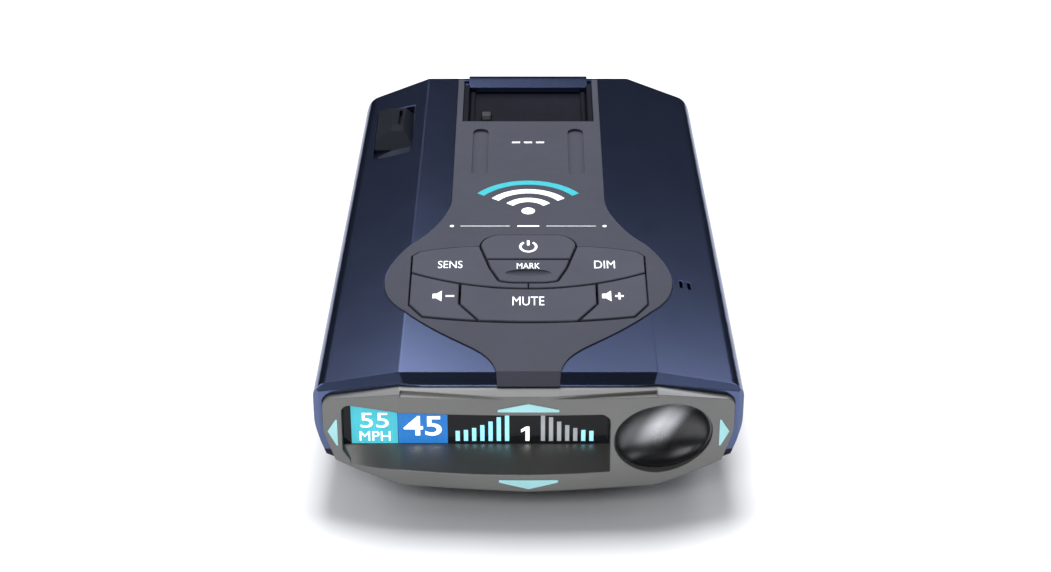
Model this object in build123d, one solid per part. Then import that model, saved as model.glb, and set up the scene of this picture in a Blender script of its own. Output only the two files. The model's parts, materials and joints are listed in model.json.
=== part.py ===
from build123d import *
from math import atan, degrees, hypot
import os

# Windscreen radar detector. Millimetres; +X is the viewer's right when facing the display,
# +Y points to the windscreen, +Z is up. The origin is the centre of the underside.

# ---- case envelope ---------------------------------------------------------------------------
HALF_LENGTH = 69.0          # display face and windscreen face are at -Y and +Y
PLATEAU_MID = 31.67         # height of the flat top at y = 0
PLATEAU_RISE = 0.0332       # the flat top climbs towards the windscreen
CREASE_MID = 24.98          # half width of the flat top at y = 0
CREASE_TAPER = 0.0099
SIDE_MID = 41.26            # half width of the case at y = 0
SIDE_TAPER = 0.0290
FACET_SLOPE = 0.2416        # the side facets fall this much per millimetre
WAIST_Z = 16.5              # the upright side walls end here and turn inwards
CHINE_Z = 10.1              # lowest edge of the side walls
CHINE_IN = 2.3              # how far the chine lies inside the side walls
BELLY_IN = 17.0             # the flat underside is this much narrower than the side walls
CHIN_Y = -45.0              # the underside rises from here to the display face
CHIN_KEEL = 5.8             # height of the display face's lower edge, at its middle
CHIN_CREASE = 6.9           # the same at the creases
PARTING_Z = 11.2            # where the top cover meets the bottom cover
WALL = 2.2                  # shell thickness
REACH = 75.0                # lofts run past both ends and are cut back in plan
SHOULDER_R = 3.2
WAIST_R = 9.0
CREASE_R = 1.0
TILT = degrees(atan(PLATEAU_RISE))

# ---- rear end --------------------------------------------------------------------------------
CREASE_X = 25.5             # plan corners of the display face
FACE_SWEEP = 0.27           # the face's outer thirds sweep forward
RIM_SWEEP = 0.15
RIM_MIDDLE = -65.2          # rear edge of the covers, at the middle and at the crease
RIM_CREASE = -63.8
BEVEL_Y = -62.0             # the flat top ends here in a bevel
BEVEL_Z = 29.61
BEZEL_INSET = 2.05          # bezel outline inside the case surface
BEZEL_GAP = 0.15
BEZEL_BACK = -57.6          # rear flange of the bezel
WINDOW_Y = -61.6            # front surface of the display window

# ---- top features ----------------------------------------------------------------------------
PANEL_PROUD = 0.25          # the soft panel stands this proud of the cover
PANEL_DEEP = 1.05           # and sits this deep in it
KEY_SEAM = 0.52             # gap between neighbouring keys
KEY_TOP = 0.55              # key tops above the plateau plane
KEY_WELL = 2.4              # floor of the key well under the plateau plane
KEY_FLOOR = 1.4             # thickness of that floor
KEY_LIFT = 0.5              # clear travel under each key
STEM_R = 1.5
STEM_CLEARANCE = 0.06
SWITCH_TOP = -6.0           # tops of the switch bodies under the plateau plane
BOARD_TOP = -7.6            # top of the key board under the plateau plane
BOARD = 1.6                 # circuit board thickness
DOCK_X = 15.5               # half width of the mount dock
DOCK_NEAR = 45.6
DOCK_FAR = 65.8
DOCK_DEEP = 2.4             # dock floor under the plateau
BAR_X = 14.4                # half width of the raised bar at the dock's far end
BAR_TOP = 34.8
BUTTON = (-36.0, -27.4, 37.2, 55.8)     # release button: low x, high x, low y, high y

# ---- inside ----------------------------------------------------------------------------------
MAIN_TOP = 11.0             # top of the main board
CASE_SCREWS = [(-31.0, -31.0), (31.0, -31.0), (-29.5, 27.0), (29.5, 27.0)]
HEAD_Z = (6.0, 7.5)         # case screw heads, up inside their counterbores
BOARD_SCREWS = [(-27.0, -44.0), (27.0, -14.0), (-27.0, 46.0), (27.0, 46.0)]
HORN_Z = 18.6               # axis height of the front horn
SPEAKER = (-2.0, 38.0)
POWER_Y, DATA_Y, AUDIO_Y = 13.0, -2.0, -22.0
AUDIO_R = 1.8
AUDIO_LENGTH = 12.0
AUDIO_Z = MAIN_TOP + 3.3


def plateau_z(y):
    return PLATEAU_MID + PLATEAU_RISE * y


def crease_x(y):
    return CREASE_MID - CREASE_TAPER * y


def side_x(y):
    return SIDE_MID - SIDE_TAPER * y


def facet_z(x, y, inset=0.0):
    return plateau_z(y) - FACET_SLOPE * (x - crease_x(y)) - inset * hypot(1, FACET_SLOPE)


TOP = Plane(origin=(0, 0, PLATEAU_MID), x_dir=(1, 0, 0), z_dir=(0, -PLATEAU_RISE, 1))


def polygon(*points):
    return make_face(Polyline(*points, close=True))


def mirrored(points):
    """Closes a right half outline with its mirror image on the left."""
    left = [(-x, y) for x, y in reversed(points) if abs(x) > 1e-6]
    return polygon(*points, *left)


def across(y, sketch):
    """Stands a sketch of (x, z) points up at the given y."""
    return Plane.XZ.offset(-y) * sketch


def prism(sketch, z0, z1):
    """Raises a sketch on the XY plane from z0 to z1."""
    return Pos(0, 0, z0) * extrude(sketch, z1 - z0, dir=(0, 0, 1))


def block(x0, x1, y0, y1, z0, z1):
    return Pos((x0 + x1) / 2, (y0 + y1) / 2, (z0 + z1) / 2) * Box(x1 - x0, y1 - y0, z1 - z0)


def disc(x, y, z0, z1, radius):
    return Pos(x, y, (z0 + z1) / 2) * Cylinder(radius, z1 - z0)


def upper_section(y, inset):
    side = side_x(y) - inset
    return across(y, mirrored([
        (crease_x(y) - FACET_SLOPE / 2 * inset, plateau_z(y) - inset),
        (side, facet_z(side, y, inset)),
        (side, WAIST_Z),
        (side - CHINE_IN, CHINE_Z),
    ]))


def upper_solid(inset=0.0):
    """Everything above the chine, with its long edges rounded."""
    solid = loft([upper_section(-REACH, inset), upper_section(REACH, inset)], ruled=True)
    long_edges = [e for e in solid.edges() if abs((e % 0.5).Y) > 0.9]
    by_height = sorted(long_edges, key=lambda e: (e @ 0.5).Z)
    chines, waists, shoulders, creases = (by_height[i:i + 2] for i in (0, 2, 4, 6))
    solid = fillet(waists, WAIST_R - inset)
    shoulders = edges_like(solid, shoulders)
    solid = fillet(shoulders, SHOULDER_R - inset / 2)
    solid = fillet(edges_like(solid, creases), CREASE_R)
    return solid


def edges_like(solid, wanted):
    """The solid's edges that still run where the wanted ones do."""
    return [e for e in solid.edges() if any((e @ 0.5 - w @ 0.5).length < 0.2 for w in wanted)]


def lower_section(y, keel, crease, crease_at, inset, floor):
    chine = side_x(y) - CHINE_IN - inset
    return across(y, mirrored([(chine, CHINE_Z), (crease_at, crease + floor), (0, keel + floor)]))


def lower_solid(inset=0.0, floor=0.0):
    """Everything below the chine: a flat belly whose chin rises to the display face.

    The chines move in by inset and the belly moves up by floor.
    """
    rear = -HALF_LENGTH - 3
    climb = (rear - CHIN_Y) / (-HALF_LENGTH - CHIN_Y)
    sections = [
        lower_section(rear, CHIN_KEEL * climb, CHIN_CREASE * climb, CREASE_X, inset, floor),
        lower_section(CHIN_Y, 0, 0, side_x(CHIN_Y) - BELLY_IN, inset, floor),
        lower_section(REACH, 0, 0, side_x(REACH) - BELLY_IN, inset, floor),
    ]
    return loft(sections, ruled=True)


# ---- case outlines in plan -------------------------------------------------------------------

WIDE = 60.0                 # plan outlines run this far out: the loft's own sides are the case's
FRONT_CREASE = 24.3         # the windscreen face is flat to here, then swept back
FRONT_SWEEP = 1 / 3
CORNER_R = 4.2


def rear_line(middle, crease, sweep):
    """A rear edge in plan: an arc across the middle with a swept line each side."""
    out = crease + sweep * (WIDE - CREASE_X)
    return [
        Line((-WIDE, out), (-CREASE_X, crease)),
        ThreePointArc((-CREASE_X, crease), (0, middle), (CREASE_X, crease)),
        Line((CREASE_X, crease), (WIDE, out)),
    ]


def front_line(inset):
    """The windscreen end in plan, from its middle to the right side: flat, swept, then rounded."""
    radius = CORNER_R - inset
    lean = hypot(1, FRONT_SWEEP)
    along = Vector(1, -FRONT_SWEEP) / lean
    front = HALF_LENGTH - inset
    swept = HALF_LENGTH + FRONT_SWEEP * FRONT_CREASE - inset * lean
    turn = radius * (1 + along.Y)
    drop = radius * along.X
    reach = SIDE_MID - inset + 0.03 - turn - SIDE_TAPER * (swept - drop)
    start_x = reach / (1 - SIDE_TAPER * FRONT_SWEEP)
    start = (start_x, swept - FRONT_SWEEP * start_x)
    corner = ((swept - front) / FRONT_SWEEP, front)
    arc_angle = 90 - degrees(atan(FRONT_SWEEP))
    arc = JernArc(start=start, tangent=(along.X, along.Y), radius=radius, arc_size=-arc_angle)
    end = arc @ 1
    return [Line((0, front), corner), Line(corner, start), arc, Line(end, (WIDE, end.Y))]


def plan(middle, crease, sweep, inset=0.0):
    rear = rear_line(middle, crease, sweep)
    right = front_line(inset)
    left = [mirror(edge, about=Plane.YZ) for edge in right]
    ends = (WIDE, (rear[2] @ 1).Y), (WIDE, (right[3] @ 1).Y)
    side = Line(*ends)
    return make_face([*rear, *right, *left, side, mirror(side, about=Plane.YZ)])


def covers_plan(inset=0.0):
    sketch = plan(RIM_MIDDLE + inset, RIM_CREASE + inset, RIM_SWEEP, inset)
    return prism(sketch, -5, 45)


def bevelled(solid, inset):
    """Bevels the covers' rear end, on the flat top, the facets and the side walls."""
    cuts = [((0, BEVEL_Y, BEVEL_Z), (0, -0.85, 1))]
    for side in (-1, 1):
        cuts.append(((side * CREASE_X, BEVEL_Y, BEVEL_Z), (side * 0.34, -0.98, 1)))
        cuts.append(((side * 43.0, -60.2, 20), (side, -1, 0)))
    for point, direction in cuts:
        normal = Vector(*direction).normalized()
        plane = Plane(origin=Vector(*point) - normal * inset, z_dir=normal)
        solid = split(solid, bisect_by=plane, keep=Keep.BOTTOM)
    return solid


def skin(inset):
    """The top cover's outer surface as a solid, moved in by inset."""
    return bevelled(upper_solid(inset) & covers_plan(inset), inset)


def face_region():
    """Everything behind the display face, which leans forward towards its lower edge."""
    def level(z, middle, crease):
        edges = rear_line(middle, crease, FACE_SWEEP)
        out = (edges[2] @ 1).Y
        edges += [Line((WIDE, out), (WIDE, 0)), Line((WIDE, 0), (-WIDE, 0)), Line((-WIDE, 0), (-WIDE, out))]
        return Pos(0, 0, z) * make_face(edges)
    return loft([level(0, -69.35, -67.53), level(40, -66.94, -66.61)], ruled=True)


def case_solid(inset=0.0, floor=0.0):
    return upper_solid(inset) + lower_solid(inset, floor)


# ---- rear bezel and display ------------------------------------------------------------------

OPENING = (-37.2, 16.2, 10.1, 23.2)         # display opening in the face: x, x, z, z
WINDOW = (-37.7, 16.6, 11.7, 23.6)
DISH_AT = (26.8, 17.05)
DISH_X, DISH_Z, DISH_DEEP = 9.9, 7.75, 4.4
DISH_TURN = 10.4                            # the dish faces this far to the right


def behind_rim(gap=0.0):
    return prism(plan(RIM_MIDDLE + gap, RIM_CREASE + gap, RIM_SWEEP), -5, 45)


def display_cavity():
    """Space in front of the window: its floor slopes down to the face."""
    low_x, high_x, low_z, high_z = OPENING
    window_z = low_z + 2.4

    def side(x, face_y):
        slope = (window_z - low_z) / (WINDOW_Y - face_y)
        lip = window_z + slope * (-71 - WINDOW_Y)
        profile = polygon((WINDOW_Y, window_z), (-71, lip), (-71, high_z + 0.6), (WINDOW_Y, high_z - 0.3))
        return Plane.YZ.offset(x) * profile
    wedge = loft([side(low_x, -64.0), side(-CREASE_X, -67.1), side(high_x, -68.2)], ruled=True)
    corner = polygon((low_x, high_z), (high_x, high_z), (high_x, low_z - 2), (low_x + 1.5, low_z - 2),
                     (low_x + 1.5, low_z + 0.4), (low_x, low_z + 2.4))
    rounded = fillet(corner.vertices().group_by(Axis.Y)[-1], 2.0)
    return wedge & Pos(0, -50, 0) * extrude(across(0, rounded), 30)


def ellipse_prism(rx, rz, y0, y1):
    sketch = Pos(*DISH_AT) * Ellipse(rx, rz)
    return extrude(across(y1, sketch), y1 - y0)


def dish_bowl():
    bowl = scale(Sphere(1), by=(DISH_X + 0.1, DISH_DEEP, DISH_Z + 0.1))
    mouth = extrude(across(0.1, Ellipse(DISH_X + 1, DISH_Z + 1)), 8)
    return Pos(DISH_AT[0], -66.0, DISH_AT[1]) * Rot(0, 0, DISH_TURN) * (bowl + mouth)


def arrow_outline(base, half, tip, blunt=0.5):
    """An arrowhead with blunt ends, pointing up: base height, half width, tip height."""
    return polygon((-half, base), (half, base), (half, base + blunt), (0, tip), (-half, base + blunt))


def arrow_sketches():
    side = Pos(0, 16.5) * Rot(0, 0, -90) * arrow_outline(38.1, 3.0, 40.1, 0.3)
    return {
        "front": arrow_outline(23.97, 6.05, 25.8),
        "rear": Pos(0, 8.5) * mirror(arrow_outline(0, 5.9, 2.0), about=Plane.XZ),
        "right": side,
        "left": mirror(side, about=Plane.YZ),
    }


ARROW_DEPTHS = {"front": -57.7, "rear": -65.9, "left": -57.7, "right": -57.7}


def arrow_prism(sketch, depth=-57.7):
    return extrude(across(depth, sketch), 75 + depth)


def bezel_blank():
    nose = case_solid(BEZEL_INSET) - behind_rim(-BEZEL_GAP)
    spigot = case_solid(BEZEL_INSET, BEZEL_INSET) & block(-50, 50, -70, BEZEL_BACK, 0, 40)
    return (nose + spigot) & face_region()


def rear_arrow_bar():
    return block(-4, 4, -66, -57.7, 7.3, 8.5)


def make_bezel(blank):
    low_x, high_x, low_z, high_z = WINDOW
    bezel = blank - display_cavity()
    bezel -= block(low_x, high_x, WINDOW_Y, BEZEL_BACK, low_z, high_z)
    bezel -= case_solid(4.2, 4.2) & block(-50, 50, -60.3, -50, 0, 40)
    bezel -= ellipse_prism(DISH_X, DISH_Z, -75, -60)
    bezel -= ellipse_prism(DISH_X + 1.15, DISH_Z + 1.05, -60.3, -57) & block(16.9, 50, -61, -57, 0, 40)
    for name, sketch in arrow_sketches().items():
        bezel -= arrow_prism(sketch, ARROW_DEPTHS[name])
    bezel -= rear_arrow_bar()
    for side in (-1, 1):
        step = polygon((side * 4, -72), (side * 4, -67.8), (side * 25.3, -65.4), (side * 25.3, -72))
        bezel -= prism(step, 26.85, 30)
    return bezel


def make_arrows(blank):
    proud = Pos(0, -0.1, 0) * blank
    arrows = {}
    for name, sketch in arrow_sketches().items():
        arrow = arrow_prism(sketch, ARROW_DEPTHS[name]) & proud
        arrows["arrow_" + name] = arrow + (rear_arrow_bar() & proud) if name == "rear" else arrow
    return arrows


def make_rear_lens(blank):
    lens = blank & ellipse_prism(DISH_X - 0.06, DISH_Z - 0.06, -75, -60.3)
    flange = ellipse_prism(DISH_X + 1, DISH_Z + 0.9, -60.3, -59.3) & block(17, 50, -61, -59, 0, 40)
    return lens + flange - dish_bowl()


def make_display():
    low_x, high_x, low_z, high_z = WINDOW
    gap = 0.1
    window = block(low_x + gap, high_x - gap, WINDOW_Y, -60.4, low_z + gap, high_z - gap)
    module = block(low_x + 0.3, high_x - 0.3, -60.4, -58.4, low_z + 0.3, high_z - 0.3)
    return {"display_window": window, "display_module": module}


def make_display_board():
    board = case_solid(5.0, 5.0) & block(-50, 50, -57.0, -57.0 + BOARD, 0, 40)
    board -= block(17.5, 36.4, -60, -50, 9.5, 21.6)
    lights = [block(-1.4, 1.4, -57.55, -57.0, z - 0.6, z + 0.6) for z in (24.7, 7.9)]
    lights += [block(x - 0.6, x + 0.6, -57.55, -57.0, 15.1, 17.9) for x in (-38.9, 38.9)]
    return {"display_board": board, "arrow_lights": Compound(lights)}


# ---- control panel and keys ------------------------------------------------------------------

def on_top(shape):
    """Moves a shape drawn on the XY plane onto the plateau plane."""
    return TOP.location * shape


def both_sides(edges):
    return make_face([*edges, *[mirror(edge, about=Plane.YZ) for edge in edges]])


def panel_sketch():
    """Straight sides beside the dock, round ears beside the keys, and a neck down to the bezel."""
    flare = Spline((17.0, 7.6), (19.3, -2.5), (24.9, -12.0), tangents=[(0, -1), (1, -1.15)])
    ear = Spline((24.9, -12.0), (29.9, -22.0), (25.6, -39.3), tangents=[(1, -1.15), (-1, -1.35)])
    waist = Spline((25.6, -39.3), (14.3, -50.9), (6.4, -62.0), tangents=[(-1, -1.35), (-0.15, -1)])
    return both_sides([
        Line((0, 68), (17, 68)),
        Line((17, 68), (17, 7.6)),
        flare,
        ear,
        waist,
        Line((6.4, -62.0), (5.8, -69)),
        Line((5.8, -69), (0, -69)),
    ])


def cluster_sketch():
    """Outline round all seven keys."""
    right = [
        ThreePointArc((6.4, -8.5), (9.1, -10.0), (10.4, -13.4)),
        ThreePointArc((10.4, -13.4), (17.0, -14.1), (23.4, -15.8)),
        Line((23.4, -15.8), (24.9, -17.6)),
        Line((24.9, -17.6), (24.8, -37.4)),
        Line((24.8, -37.4), (21.8, -42.2)),
    ]
    left = [mirror(edge, about=Plane.YZ) for edge in right]
    far = Line((-6.4, -8.5), (6.4, -8.5))
    near = ThreePointArc((-21.8, -42.2), (0, -44.3), (21.8, -42.2))
    return make_face([far, *right, near, *left])


def seams():
    """Gaps between neighbouring keys."""
    hood = FilletPolyline((10.75, -11.95), (8.1, -22.9), (6.1, -28.2), (3.6, -28.8), (0, -28.8), radius=1.2)
    shelf = ThreePointArc((-25.5, -24.3), (0, -31.2), (25.5, -24.3))
    divider = FilletPolyline((14.3, -29.1), (14.3, -37.2), (8.95, -45.7), radius=2)
    half = hood.edges() + divider.edges()
    edges = [shelf, *half, *[mirror(edge, about=Plane.YZ) for edge in half]]
    split_power = Line((-9.2, -19.15), (9.2, -19.15))
    split_top = Line((0, -28.8), (0, -31.2))
    return trace([*edges, split_power], KEY_SEAM) + trace(split_top, KEY_SEAM / 2)


def key_sketches():
    """The seven key outlines by name: rows from the windscreen side, left before right."""
    faces = (offset(cluster_sketch(), -KEY_SEAM / 2) - seams()).faces()
    faces = [face for face in faces if face.area > 4]
    left = sorted([f for f in faces if f.center().X < -4], key=lambda f: -f.center().Y)
    middle = sorted([f for f in faces if abs(f.center().X) < 4], key=lambda f: -f.center().Y)
    right = sorted([f for f in faces if f.center().X > 4], key=lambda f: -f.center().Y)
    names = dict(zip(["sensitivity", "volume_down"], left))
    names.update(zip(["power", "mark", "mute"], middle))
    names.update(zip(["brightness", "volume_up"], right))
    return names


def grown(sketch, gap):
    """A sketch moved out by gap, with its corners kept sharp."""
    return offset(sketch, gap, kind=Kind.INTERSECTION)


def make_panel(keys_outline):
    panel = prism(panel_sketch(), 10, 50) & (skin(-PANEL_PROUD) - skin(PANEL_DEEP))
    panel -= upper_solid(BEZEL_INSET - BEZEL_GAP - 0.1)
    panel -= on_top(prism(grown(keys_outline, 0.15), -3, 3))
    panel -= block(-DOCK_X - 0.1, DOCK_X + 0.1, DOCK_NEAR - 0.1, 80, 20, 40)
    for side in (-1, 1):
        groove = Pos(side * 11.1, 30.2) * SlotOverall(23, 3.6, rotation=90)
        panel -= on_top(prism(groove, -0.35, 2))
    return panel


def stem_points(keys):
    return {name: (face.center().X, face.center().Y) for name, face in keys.items()}


def top_disc(x, y, z0, z1, radius):
    return on_top(disc(x, y, z0, z1, radius))


def make_key(name, face, point):
    """A key cap with rounded top edges and a split snap stem that reaches its switch."""
    low = KEY_LIFT - KEY_WELL
    cap = prism(face, low, KEY_TOP)
    cap = fillet(cap.edges().group_by(Axis.Z)[-1], 0.3)
    if name == "mark":
        dimple = scale(Sphere(1), by=(4.9, 1.7, 1.0))
        cap -= Pos(0, -25.1, KEY_TOP + 0.05) * dimple
    x, y = point
    floor_under = -KEY_WELL - KEY_FLOOR
    stem = disc(x, y, SWITCH_TOP + 0.6, low, STEM_R)
    stem += disc(x, y, floor_under - 0.8, floor_under - 0.05, STEM_R + 0.4)
    stem -= block(x - 0.3, x + 0.3, y - 3, y + 3, floor_under - 1, floor_under + 0.6)
    return on_top(cap + stem)


def make_plunger(point):
    x, y = point
    return top_disc(x, y, SWITCH_TOP - 0.6, SWITCH_TOP + 0.6, 1.0)


def make_switches(points):
    solids = []
    for x, y in points.values():
        body = block(x - 2.25, x + 2.25, y - 2.25, y + 2.25, BOARD_TOP, SWITCH_TOP)
        body = chamfer(body.edges().group_by(Axis.Z)[-1], 0.25)
        solids.append(on_top(body - disc(x, y, SWITCH_TOP - 1.2, SWITCH_TOP + 1, 1.0 + STEM_CLEARANCE)))
    return Compound(solids)


KEY_POSTS = [(-25.0, -45.4), (25.0, -45.4), (-25.0, -7.0), (25.0, -7.0)]


def small_screw(x, y, under):
    return disc(x, y, under, under + 5, 0.8) + disc(x, y, under - 0.9, under, 1.7)


def make_key_board(points):
    outline = Pos(0, -26.2) * RectangleRounded(55, 43.5, 3)
    board = prism(outline, BOARD_TOP - BOARD, BOARD_TOP)
    for x, y in KEY_POSTS:
        board -= disc(x, y, -12, 0, 0.9)
    lights = [block(x + 3.0, x + 4.6, y - 0.4, y + 0.4, BOARD_TOP, BOARD_TOP + 0.7) for x, y in points.values()]
    screws = [small_screw(x, y, BOARD_TOP - BOARD) for x, y in KEY_POSTS]
    return {
        "key_board": on_top(board),
        "key_lights": Compound([on_top(light) for light in lights]),
    }, [on_top(screw) for screw in screws]


# ---- mount dock and release ------------------------------------------------------------------

TOOTH = (-11.0, -9.0, 51.0, 54.0)
TOOTH_TOP = 32.0
ARM_Z = (23.0, 24.6)
BRACKET_TOP = 19.0
SPRING_X = (-32.0, -13.0)
SPRING_Y = 52.5
BUTTON_GAP = 0.15


def make_dock():
    """A tray with a flange under the cover, two guide rails and a slot for the latch tooth."""
    low = -DOCK_DEEP - 1.2
    middle = (DOCK_NEAR + DOCK_FAR) / 2
    length = DOCK_FAR - DOCK_NEAR - 0.1
    tray = block(-DOCK_X, DOCK_X, middle - length / 2, middle + length / 2, low, -0.15)
    tray += block(-DOCK_X - 3, DOCK_X + 3, DOCK_NEAR - 2.5, DOCK_FAR, low, -WALL - 0.05)
    tray -= block(-DOCK_X + 1.2, DOCK_X - 1.2, DOCK_NEAR + 1.0, DOCK_FAR + 2, -DOCK_DEEP, 2)
    for side in (-1, 1):
        rail = Pos(side * 13.4, 56.6, -DOCK_DEEP + 0.4) * Box(1.2, 17, 0.8)
        tray += chamfer(rail.edges().group_by(Axis.Z)[-1], 0.25)
    x0, x1, y0, y1 = TOOTH
    tray = on_top(tray) - block(x0 - 0.2, x1 + 0.2, y0 - 0.3, y1 + 0.3, 25, 33)
    magnets = [top_disc(0, y, low - 1.8, low, 4.0) for y in (50.5, 60.5)]
    return {"mount_dock": tray, "dock_magnets": Compound(magnets)}


def button_prism(gap=0.0):
    x0, x1, y0, y1 = BUTTON
    return block(x0 - gap, x1 + gap, y0 - gap, y1 + gap, 20, 40)


def make_release_button():
    """A thumb wedge: steep towards the display, falling away to flush towards the windscreen."""
    x0, x1, y0, y1 = BUTTON
    near = facet_z(-x0, y0)
    profile = polygon((y0, near - 0.3), (y0 + 5.6, near + 2.1), (y0 + 8.5, near + 2.2), (y1, near + 1.9), (y1, 26), (y0, 26))
    wedge = Plane.YZ.offset(x0) * profile
    wedge = extrude(wedge, x1 - x0)
    side_fall = Plane(origin=(x1 - 2.4, 0, near + 2.3), z_dir=(0.8, 0, 1))
    wedge = split(wedge, bisect_by=side_fall, keep=Keep.BOTTOM)
    outer_fall = Plane(origin=(x0 + 2.0, 0, near + 1.6), z_dir=(-0.35, 0, 1))
    wedge = split(wedge, bisect_by=outer_fall, keep=Keep.BOTTOM)
    flange = block(x0 - 0.8, x1 + 0.8, y0 - 0.8, y1 + 0.8, 26, 40) & upper_solid(WALL + 0.1)
    button = wedge + flange
    button -= block(x0 + 1.3, x1 - 1.3, y0 + 1.3, y1 - 1.3, 25, 29)
    return button - block(-30.9, -30.2, 46.5, 54.5, near + 0.6, 40)


def make_latch():
    x0, x1, y0, y1 = TOOTH
    low, high = ARM_Z
    arm = block(-35, x1 + 1, 50, 55, low, high)
    arm += block(-34, -30, 50.5, 54.5, high, 29)
    tooth = block(x0, x1, y0, y1, high, TOOTH_TOP)
    tooth = chamfer(tooth.edges().filter_by(Axis.X).group_by(Axis.Z)[-1].sort_by(Axis.Y)[:1], 0.7)
    return arm + tooth


def make_bracket():
    low = BRACKET_TOP - 1.4
    bracket = block(-36, -6.5, 49.5, 55.5, low, BRACKET_TOP) + block(-25, -20, 45, 60, low, BRACKET_TOP)
    for x in SPRING_X:
        bracket += disc(x, SPRING_Y, BRACKET_TOP, BRACKET_TOP + 1.2, 1.2)
    for y in (47.3, 57.7):
        bracket -= disc(-22.5, y, 0, 30, 0.9)
    return bracket, [small_screw(-22.5, y, low) for y in (47.3, 57.7)]


def make_springs():
    """Two compression springs between the bracket and the latch arm."""
    wire = 0.25
    radius = 1.75
    height = ARM_Z[0] - BRACKET_TOP - 2 * wire - 0.1
    springs = []
    for x in SPRING_X:
        path = Helix(pitch=height / 3.5, height=height, radius=radius)
        section = Plane(origin=path @ 0, z_dir=path % 0) * Circle(wire)
        springs.append(Pos(x, SPRING_Y, BRACKET_TOP + wire + 0.05) * sweep(section, path=path))
    return Compound(springs)


# ---- covers ----------------------------------------------------------------------------------

WINDOW_FRONT = (-21.0, 21.0, 13.5, 27.0)    # windscreen face window: x, x, z, z


def cavity():
    """Free space inside the covers."""
    return case_solid(WALL, WALL) & prism(plan(-86, -85, 0, WALL), -5, 45)


def bezel_socket():
    inset = BEZEL_INSET - BEZEL_GAP
    return case_solid(inset, inset) & block(-50, 50, -80, BEZEL_BACK + BEZEL_GAP, -5, 40)


def dock_bar():
    """The raised bar that closes the dock's windscreen end."""
    half = DOCK_FAR
    profile = polygon((69, 30), (69, 34.3), (68.5, BAR_TOP), (67.2, BAR_TOP), (half, 33.0), (half, 30))
    return extrude(Plane.YZ.offset(-BAR_X) * profile, 2 * BAR_X)


def thumb_relief():
    """Sloping hollow in the left facet in front of the release button."""
    x0, x1, y0, y1 = BUTTON
    start = Plane(origin=(-31.8, y0 - 5.5, facet_z(31.8, y0 - 5.5)), x_dir=(1, 0, FACET_SLOPE),
                  z_dir=(-FACET_SLOPE, 0.2, 1))
    hollow = start.location * Pos(0, 4, 5) * Box(9.2, 16, 10)
    return hollow & block(x0 - 0.5, x1 + 0.3, y0 - 6, y0 + 0.5, 20, 45)


def sound_slots():
    slots = [Pos(x, -25.8) * SlotOverall(2.9, 0.75, rotation=90) for x in (32.2, 33.9)]
    return prism(Sketch() + slots, 20, 40)


def side_openings():
    power = block(30, 50, POWER_Y - 5.5, POWER_Y + 5.5, MAIN_TOP + 1.2, MAIN_TOP + 9.4)
    data = block(30, 50, DATA_Y - 4.6, DATA_Y + 4.6, MAIN_TOP + 0.8, MAIN_TOP + 4.2)
    audio = Pos(40, AUDIO_Y, AUDIO_Z) * Rot(0, 90, 0) * Cylinder(3.05, 20)
    return power + data + audio


def front_opening():
    x0, x1, z0, z1 = WINDOW_FRONT
    sketch = Pos((x0 + x1) / 2, (z0 + z1) / 2) * RectangleRounded(x1 - x0, z1 - z0, 2.5)
    return extrude(across(80, sketch), 20)


def make_front_window():
    x0, x1, z0, z1 = WINDOW_FRONT
    centre = Pos((x0 + x1) / 2, (z0 + z1) / 2)
    pane = extrude(across(68.7, centre * RectangleRounded(x1 - x0 - 0.3, z1 - z0 - 0.3, 2.4)), 3.0)
    flange = block(x0 - 1.5, x1 + 1.5, 65.5, 66.7, z0 - 1.2, z1 + 1.2)
    return pane + flange


def panel_recess():
    return prism(panel_sketch(), 10, 50) - skin(PANEL_DEEP)


def make_top_cover(keys_outline, points):
    cover = skin(0) - panel_recess()
    cover &= block(-60, 60, -90, 90, PARTING_Z, 50)
    cover += dock_bar()
    cover -= cavity()
    cover -= bezel_socket()
    well_floor = -KEY_WELL - KEY_FLOOR
    cover += on_top(prism(grown(keys_outline, 1.0), well_floor, -KEY_WELL + 1.0))
    cover -= on_top(prism(grown(keys_outline, 0.15), -KEY_WELL, 4))
    for x, y in points.values():
        cover -= top_disc(x, y, -6, 0, STEM_R + STEM_CLEARANCE)
    for x, y in KEY_POSTS:
        cover += top_disc(x, y, BOARD_TOP, -WALL + 0.3, 2.0)
        cover -= top_disc(x, y, BOARD_TOP, BOARD_TOP + 5, 0.85)
    cover -= block(-DOCK_X - 0.1, DOCK_X + 0.1, DOCK_NEAR - 0.1, DOCK_FAR, 20, 40)
    cover -= button_prism(BUTTON_GAP)
    cover -= thumb_relief()
    cover -= sound_slots()
    cover -= side_openings()
    cover -= front_opening()
    for x, y in CASE_SCREWS:
        cover += disc(x, y, MAIN_TOP - 1.6, facet_z(abs(x), y) - 1.0, 2.6)
        cover -= disc(x, y, 0, MAIN_TOP + 8, 1.25)
    for y in (47.3, 57.7):
        cover += disc(-22.5, y, BRACKET_TOP, plateau_z(y) - 1.0, 1.9)
        cover -= disc(-22.5, y, 0, BRACKET_TOP + 6, 0.85)
    return cover


LABEL = (-17.0, 17.0, -36.0, 10.0)
SPEAKER_R = 14.0


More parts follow.
